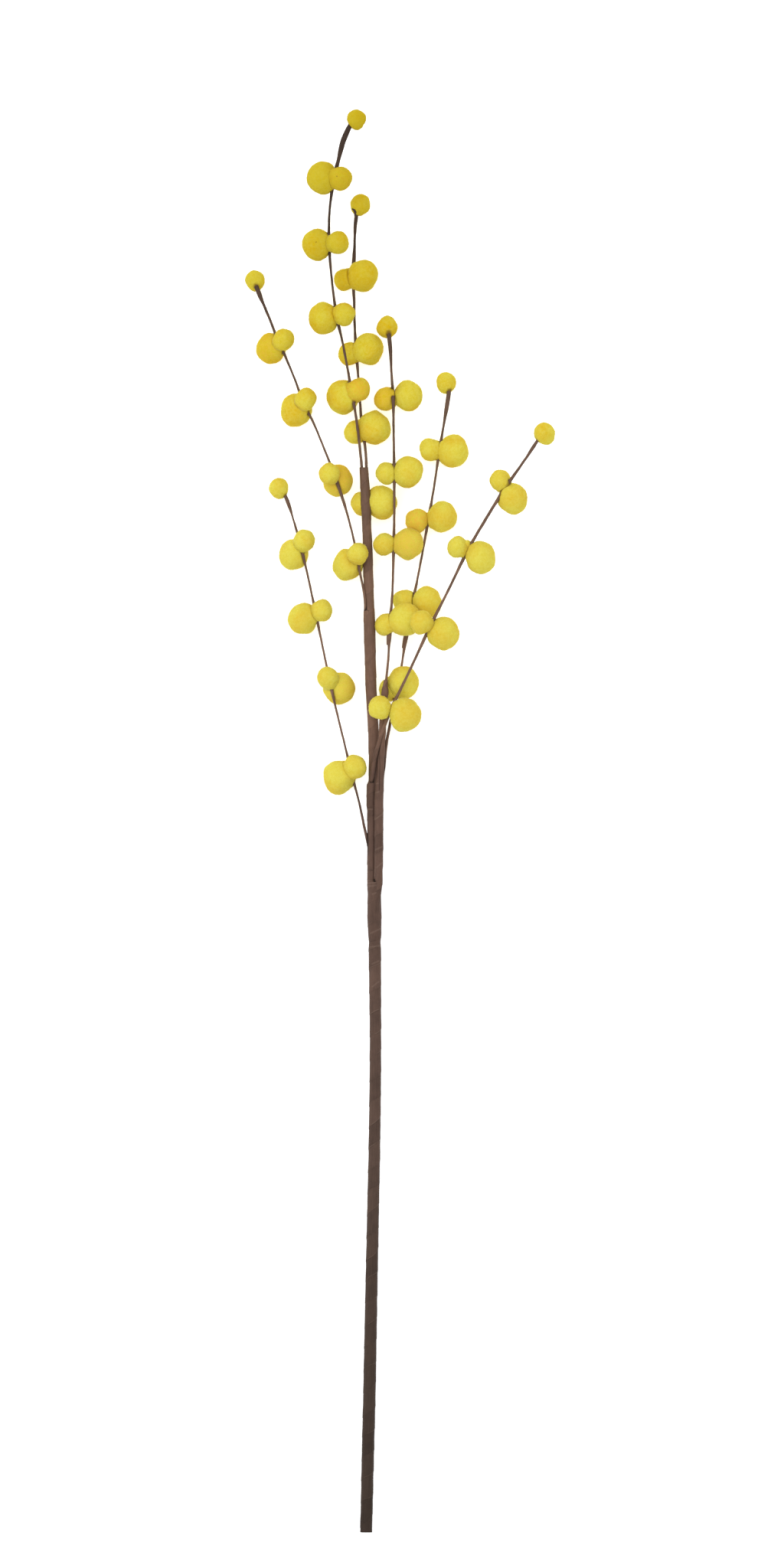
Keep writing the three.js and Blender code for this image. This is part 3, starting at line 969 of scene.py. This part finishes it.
def press_aside(points, line, clearance, home=None):
    """Points within the clearance of a stem or wire, moved out of it, to the side that home is on where
    that is given; also their distance to it"""
    low, high = points[:, 1].min() - clearance, points[:, 1].max() + clearance
    near = line[(line[:, 1] > low) & (line[:, 1] < high)]
    if len(near) == 0:
        return points, np.full(len(points), FAR)
    away = points[:, None] - near[None, :, :3]
    distance = np.linalg.norm(away, axis=2)
    nearest = (distance - near[:, 3]).argmin(1)
    pick = np.arange(len(points)), nearest
    away, on_line = away[pick], near[nearest, :3]
    radius, gap = near[nearest, 3], distance[pick]
    out = np.maximum(1, (radius + clearance) / gap)
    if home is not None:
        homeward = (home - on_line) / np.linalg.norm(home - on_line, axis=1)[:, None]
        beyond = np.minimum((away * homeward).sum(1), 0) * (out > 1)
        away -= 2 * beyond[:, None] * homeward
    return on_line + away * out[:, None], gap - radius


def looks_from(points, faces):
    """The way that the skin looks at each corner"""
    sides = points[faces]
    flat = np.cross(sides[:, 1] - sides[:, 0], sides[:, 2] - sides[:, 0])
    total = np.zeros_like(points)
    for corner in range(3):
        np.add.at(total, faces[:, corner], flat)
    return total / np.linalg.norm(total, axis=1)[:, None]


def snipped_round(ways, seed):
    """Share of the radius at which the skin lies each way: round, with the flats that scissors leave"""
    lot = np.random.default_rng(seed + SNIP_SEED)
    cuts = lot.normal(size=(SNIPS, 3))
    cuts /= np.linalg.norm(cuts, axis=1)[:, None]
    nearness = np.maximum(ways @ cuts.T, SNIP_EDGE) / lot.uniform(*SNIP_DEPTH, SNIPS)
    reach = ((nearness**SNIP_SHARPNESS).sum(1) + 1) ** (-1 / SNIP_SHARPNESS)
    return reach / reach.mean()


def fibres_on(points, looks, roots, lot):
    """Short tapering fibres that stand on the skin at the roots, each a three-sided spike: corners,
    faces, the way that each corner looks"""
    count = len(roots)
    way = looks[roots] + FIBRE_LEAN * lot.normal(size=(count, 3))
    way /= np.linalg.norm(way, axis=1)[:, None]
    side = np.cross(way, lot.normal(size=(count, 3)))
    side /= np.linalg.norm(side, axis=1)[:, None]
    other = np.cross(way, side)
    foot = points[roots] - FIBRE_ROOT * looks[roots]
    length = lot.uniform(*FIBRE_LENGTH, count)[:, None]
    turns = (0, 2 * math.pi / 3, 4 * math.pi / 3)
    outward = [math.cos(turn) * side + math.sin(turn) * other for turn in turns]
    corners = [foot + FIBRE_RADIUS * out for out in outward]
    corners.append(foot + way * (FIBRE_ROOT + length))
    spikes = np.stack(corners, axis=1).reshape(-1, 3)
    facing = [looks[roots] + FIBRE_ROUND * out for out in outward]
    facing.append(looks[roots])
    facing = np.stack(facing, axis=1).reshape(-1, 3)
    faces = np.array([[0, 1, 3], [1, 2, 3], [2, 0, 3]])
    return spikes, (4 * np.arange(count)[:, None, None] + faces).reshape(-1, 3), facing


def plush_ball(ball, neighbour, lines, sphere, fibres, seed, speck):
    """Skin and fibres of one ball: corners, faces, the way that they look, and at each corner the
    depth of the nap, which sets its painted shade, the nearness to the wire, where glue brown and painted
    shade go, or to a speck of glue, and the share of painted glow, up to 1 along a fibre"""
    middle, radius = ball[0], ball[1] * FACET_SHARE - NAP_DEPTH
    turned = sphere[0] @ np.array(Euler([turn * seed for turn in BALL_TURNS]).to_matrix())
    places = turned * radius
    lump = drift(places, BROAD_SIZE, seed)
    clump = drift(places, CLUMP_SIZE, seed + CLUMP_SEED)
    tuft = drift(places, TUFT_SIZE, seed + TUFT_SEED)
    height = BROAD_LUMP * lump + CLUMP * clump + TUFT * tuft
    shape = np.array([1 / BALL_LENGTHEN, BALL_LENGTHEN, 1])
    points = middle + turned * shape * (radius * snipped_round(turned, seed) + height)[:, None]
    free = np.ones(len(points), bool)
    if neighbour is not None:
        apart = neighbour[0] - middle
        distance = np.linalg.norm(apart)
        apart = apart / distance
        other = neighbour[1] * FACET_SHARE - NAP_DEPTH
        flat = (distance**2 + radius**2 - other**2) / (2 * distance) + PRESS
        over = (points - middle) @ apart - flat
        points -= np.maximum(over, 0)[:, None] * apart
        outward = points - middle - ((points - middle) @ apart)[:, None] * apart
        reach = np.maximum(np.linalg.norm(outward, axis=1), math.sqrt(max(radius**2 - flat**2, MM**2)))
        rise = JOIN_RISE * np.clip(1 + over / JOIN_REACH, 0, 1) ** 2
        points += outward * (rise / reach)[:, None]
        free &= over < -2 * PRESS
    wire_gap = None
    for line in lines:
        moved, gap = press_aside(points, line, WIRE_ROOM, None if line is lines[0] else middle)
        free &= gap > WIRE_ROOM
        points = moved
        wire_gap = gap if wire_gap is None else wire_gap
    free &= points[:, 2] > FIBRE_LENGTH[1]
    points[:, 2] = np.maximum(points[:, 2], 0)
    # Glue brown and painted shade, strongest where the wire goes in
    glue_and_shade = np.exp(-np.maximum(wire_gap, 0) / GLUE_AND_SHADE_REACH)
    if speck is not None:
        off = np.linalg.norm(points[:, :2] - speck, axis=1) / SPECK_SIZE
        glue_and_shade = np.maximum(glue_and_shade, np.exp(-(off**2)) * (turned[:, 2] > 0))
    nap = NAP_MEAN + NAP_CLUMP * clump + NAP_TUFT * tuft
    looks = looks_from(points, sphere[1])
    looks += SOFTNESS * (turned - looks)
    lot = np.random.default_rng(seed)
    roots = lot.choice(np.nonzero(free)[0], fibres)
    spikes, spike_faces, spike_looks = fibres_on(points, looks, roots, lot)
    spike_nap = np.repeat(nap[roots], 4) + np.tile(SPIKE_NAP, len(roots))
    corners = np.vstack([points, spikes])
    faces = np.vstack([sphere[1], spike_faces + len(points)])
    naps = np.concatenate([nap, spike_nap])
    glue_and_shades = np.concatenate([glue_and_shade, np.repeat(glue_and_shade[roots], 4)])
    stands = np.concatenate([np.zeros(len(points)), np.tile(SPIKE_LIGHT, len(roots))])
    marks = {"nap": naps, "glue_and_shade": glue_and_shades, "standing": stands}
    return corners, faces, np.vstack([looks, spike_looks]), marks


# Trimmed acrylic fibre: soft and matt with a pale bloom at the rim, painted paler on the tufts and
# fibre tips and darker gold as shade deep between them, golden in cloudy patches where the dye took
# deeper, brown with glue and painted shade where a wire goes in; paler on the lower balls, and painted
# darker towards the tips as the lamp's light falls off. The fibres have a little painted glow, which
# stands in for the light that comes through them. The lint is drawn coarser than real, so that it shows.
plush = new_finish("trimmed_acrylic_fibre")
nap = add_node(plush, "ShaderNodeAttribute", {"attribute_name": "nap"}).outputs["Fac"]
glue_and_shade = add_node(plush, "ShaderNodeAttribute", {"attribute_name": "glue_and_shade"}).outputs["Fac"]
warmth = add_node(plush, "ShaderNodeAttribute", {"attribute_name": "warmth"}).outputs["Fac"]
place = add_node(plush, "ShaderNodeTexCoord").outputs["Object"]
cloud = add_node(
    plush,
    "ShaderNodeTexNoise",
    Vector=place,
    Scale=1 / DYE_CLOUD,
    Detail=1,
    Roughness=0.4,
)
mottle = add_node(
    plush,
    "ShaderNodeTexNoise",
    Vector=place,
    Scale=1 / DYE_MOTTLE,
    Detail=3,
    Roughness=0.6,
)
# Painted shade in the nap: darker deep between the tufts and at the fibres' roots, paler at the tips
nap_shade = add_node(
    plush,
    "ShaderNodeMixRGB",
    Fac=nap,
    Color1=linear(PLUSH_NAP_SHADE),
    Color2=linear(PLUSH_LIGHT),
)
soft = add_node(
    plush,
    "ShaderNodeMixRGB",
    Fac=0.55,
    Color1=linear(PLUSH_BODY),
    Color2=nap_shade.outputs["Color"],
)
gold = add_node(
    plush,
    "ShaderNodeMapRange",
    Value=cloud.outputs["Fac"],
    From_Min=0.4,
    From_Max=0.66,
    To_Max=0.75,
)
golden = add_node(
    plush,
    "ShaderNodeMixRGB",
    Fac=gold.outputs["Result"],
    Color1=soft.outputs["Color"],
    Color2=linear(PLUSH_GOLD),
)
pale = add_node(
    plush,
    "ShaderNodeMapRange",
    Value=mottle.outputs["Fac"],
    From_Min=0.35,
    From_Max=0.75,
    To_Max=0.38,
)
paled = add_node(
    plush,
    "ShaderNodeMixRGB",
    Fac=pale.outputs["Result"],
    Color1=golden.outputs["Color"],
    Color2=linear(PLUSH_LIGHT),
)
spread = add_node(plush, "ShaderNodeMapRange", Value=mottle.outputs["Fac"], From_Min=0.36, From_Max=0.6)
warm_share = add_node(plush, "ShaderNodeMath", {"operation": "MULTIPLY"})
plush.node_tree.links.new(warmth, warm_share.inputs[0])
plush.node_tree.links.new(spread.outputs["Result"], warm_share.inputs[1])
warmed = add_node(
    plush,
    "ShaderNodeMixRGB",
    Fac=warm_share.outputs["Value"],
    Color1=paled.outputs["Color"],
    Color2=linear(PLUSH_WARM),
)
height = add_node(plush, "ShaderNodeSeparateXYZ", Vector=place)
low_down = add_node(
    plush,
    "ShaderNodeMapRange",
    Value=height.outputs["Y"],
    From_Min=0.2,
    From_Max=0.3,
    To_Min=0.24,
    To_Max=0,
)
paler_below = add_node(
    plush,
    "ShaderNodeMixRGB",
    Fac=low_down.outputs["Result"],
    Color1=warmed.outputs["Color"],
    Color2=linear(PLUSH_LIGHT),
)
# Painted light falloff: darker towards the tips
to_top = add_node(
    plush,
    "ShaderNodeMapRange",
    Value=height.outputs["Y"],
    From_Min=0.27,
    From_Max=0.46,
    To_Max=0.75,
)
shaded = add_node(
    plush,
    "ShaderNodeMixRGB",
    Fac=to_top.outputs["Result"],
    Color1=paler_below.outputs["Color"],
    Color2=linear(PLUSH_SHADE),
)
# Glue brown and painted shade near the wires and specks of glue
glue_and_shade_share = add_node(plush, "ShaderNodeMapRange", Value=glue_and_shade, From_Min=0.35, From_Max=1, To_Max=0.85)
glue_and_shade_mixed = add_node(
    plush,
    "ShaderNodeMixRGB",
    Fac=glue_and_shade_share.outputs["Result"],
    Color1=shaded.outputs["Color"],
    Color2=linear(GLUE_AND_SHADE_BROWN),
)
# Painted glow on the fibres: emission that stands in for light coming through them
standing = add_node(plush, "ShaderNodeAttribute", {"attribute_name": "standing"}).outputs["Fac"]
glow = add_node(plush, "ShaderNodeMapRange", Value=standing, To_Max=FIBRE_GLOW)
lint = add_node(plush, "ShaderNodeTexNoise", Vector=place, Scale=1 / LINT, Detail=2)
fuzz = add_node(plush, "ShaderNodeBump", Height=lint.outputs["Fac"], Strength=0.35, Distance=0.25 * MM)
fibre = add_node(
    plush,
    "ShaderNodeBsdfPrincipled",
    Base_Color=glue_and_shade_mixed.outputs["Color"],
    Roughness=0.95,
    Normal=fuzz.outputs["Normal"],
    Sheen_Weight=0.22,
    Sheen_Roughness=0.2,
    Sheen_Tint=linear(PLUSH_BLOOM),
    Specular_IOR_Level=0.03,
    Emission_Color=glue_and_shade_mixed.outputs["Color"],
    Emission_Strength=glow.outputs["Result"],
)
add_node(plush, "ShaderNodeOutputMaterial", Surface=fibre.outputs["BSDF"])

# Balls of a warmer dye, the large one's share and the small one's
WARM_BALLS = {
    "a1": (0, 0.45),
    "a4": (0, 0.5),
    "c1": (0.3, 0.1),
    "c3": (0.45, 0),
    "d1": (0.05, 0.3),
    "d3": (0.45, 0),
    "e2": (0, 0.75),
    "g3": (0.3, 0),
}
# A small third tuft between the balls of a pair: its spot in the photograph's pixels and radius
KNOTS = {"f2": ((609.5, 711), 3.2 * MM)}
KNOT_CORNERS = 500
KNOT_FIBRES = 300
PAIRS_ON_A_WIRE = 4
# The seed of a ball: so much for each wire, and for each pair on it or for its tip
BRANCH_SEED = 100
PAIR_SEED = 10
TIP_SEED = 60
large_sphere = even_sphere(LARGE_CORNERS)
small_sphere = even_sphere(SMALL_CORNERS)
knot_sphere = even_sphere(KNOT_CORNERS)


def plush_piece(name, node, branch, balls, seed, warmths, speck=None):
    """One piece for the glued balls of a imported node"""
    corners, faces, looks, marks = [], [], [], []
    lines = [wire_rows[branch], main_rows, side_rows]
    spheres = [(large_sphere, LARGE_FIBRES), (small_sphere, SMALL_FIBRES), (knot_sphere, KNOT_FIBRES)]
    for number, ball in enumerate(balls):
        neighbour = balls[1 - number] if len(balls) > 1 and number < 2 else None
        sphere, fibres = spheres[number if len(balls) > 1 else 1]
        skin = plush_ball(ball, neighbour, lines, sphere, fibres, seed + number, speck)
        faces.append(skin[1] + sum(len(c) for c in corners))
        corners.append(skin[0])
        looks.append(skin[2])
        marks.append({**skin[3], "warmth": np.full(len(skin[0]), warmths[number])})
    piece = make_piece(
        name,
        np.vstack(corners),
        np.vstack(faces).tolist(),
        plush,
        [node],
        {mark: np.concatenate([part[mark] for part in marks]) for mark in marks[0]},
        np.vstack(looks),
    )


for number, branch in enumerate(BRANCHES):
    for pair in range(1, PAIRS_ON_A_WIRE + 1):
        key = f"{branch}{pair}"
        node = f"ball_pair_{key}"
        balls = balls_in(node, 2)
        if key in KNOTS:
            spot, radius = KNOTS[key]
            balls.append((np.array([*seen_at(spot), (balls[0][0][2] + balls[1][0][2]) / 2]), radius))
        warmths = (*WARM_BALLS.get(key, (0, 0)), 0)
        speck = seen_at(SPECKS[key]) if key in SPECKS else None
        seed = BRANCH_SEED * number + PAIR_SEED * pair
        plush_piece(f"plush_pair_{key}", node, branch, balls, seed, warmths, speck)
    node = f"tip_ball_{branch}"
    seed = BRANCH_SEED * number + TIP_SEED
    plush_piece(f"plush_tip_{branch}", node, branch, balls_in(node, 1), seed, (0,))


# Light table: a broad sheet of opal acrylic, matt and lit from below, so that the branch lies on
# clean white with hardly a shadow.
TABLE_SIZE = 120
TABLE_DROP = 0.3 * MM
TABLE_GLOW = 0.55
OPAL_WHITE = "#F4F4F4"
opal_acrylic = new_finish("opal_acrylic")
sheet = add_node(
    opal_acrylic,
    "ShaderNodeBsdfPrincipled",
    Base_Color=linear(OPAL_WHITE),
    Roughness=0.9,
    Specular_IOR_Level=0.1,
    Emission_Color=(1, 1, 1, 1),
    Emission_Strength=TABLE_GLOW,
)
add_node(opal_acrylic, "ShaderNodeOutputMaterial", Surface=sheet.outputs["BSDF"])
top = bpy.data.meshes.new("light_table")
half = TABLE_SIZE / 2
sheet_corners = [(x * half, y * half, -TABLE_DROP) for x, y in ((-1, -1), (1, -1), (1, 1), (-1, 1))]
top.from_pydata(sheet_corners, [], [(0, 1, 2, 3)])
top.materials.append(opal_acrylic)
table = bpy.data.objects.new("light_table", top)
bpy.context.scene.collection.objects.link(table)


# Studio light: a bright white room all round, and one wide soft lamp above, a little towards the
# tips and to the left.
ROOM_LIGHT = 0.62
LAMP_LIGHT = 1.65
LAMP_SPREAD = math.radians(60)
LAMP_FROM = Vector((-0.2, 0.21, 1.0))
room = bpy.data.worlds.new("white_room")
room.use_nodes = True
room.node_tree.nodes["Background"].inputs["Color"].default_value = (1, 1, 1, 1)
room.node_tree.nodes["Background"].inputs["Strength"].default_value = ROOM_LIGHT
bpy.context.scene.world = room
lamp_data = bpy.data.lights.new("soft_lamp", "SUN")
lamp_data.energy = LAMP_LIGHT
lamp_data.angle = LAMP_SPREAD
lamp = bpy.data.objects.new("soft_lamp", lamp_data)
lamp.rotation_mode = "QUATERNION"
lamp.rotation_quaternion = LAMP_FROM.to_track_quat("Z", "Y")
bpy.context.scene.collection.objects.link(lamp)


# Camera: straight above, with a long lens. The photograph is 1024 by 2048 pixels, each about
# 0.51 mm at the height of the balls.
PHOTO_SIZE = (1024, 2048)
CAMERA_HEIGHT = 20
BALL_HEIGHT = 18 * MM
SENSOR = 36
SEES_TO = 100
camera_data = bpy.data.cameras.new("long_lens")
camera_data.sensor_width = SENSOR
camera_data.lens = SENSOR * (CAMERA_HEIGHT - BALL_HEIGHT) / (PHOTO_SIZE[1] * PHOTO_PIXEL)
camera_data.clip_end = SEES_TO
camera = bpy.data.objects.new("long_lens", camera_data)
camera.location = (*seen_at((PHOTO_SIZE[0] / 2, PHOTO_SIZE[1] / 2)), CAMERA_HEIGHT)
bpy.context.scene.collection.objects.link(camera)
bpy.context.scene.camera = camera
bpy.context.scene.view_settings.view_transform = "Standard"
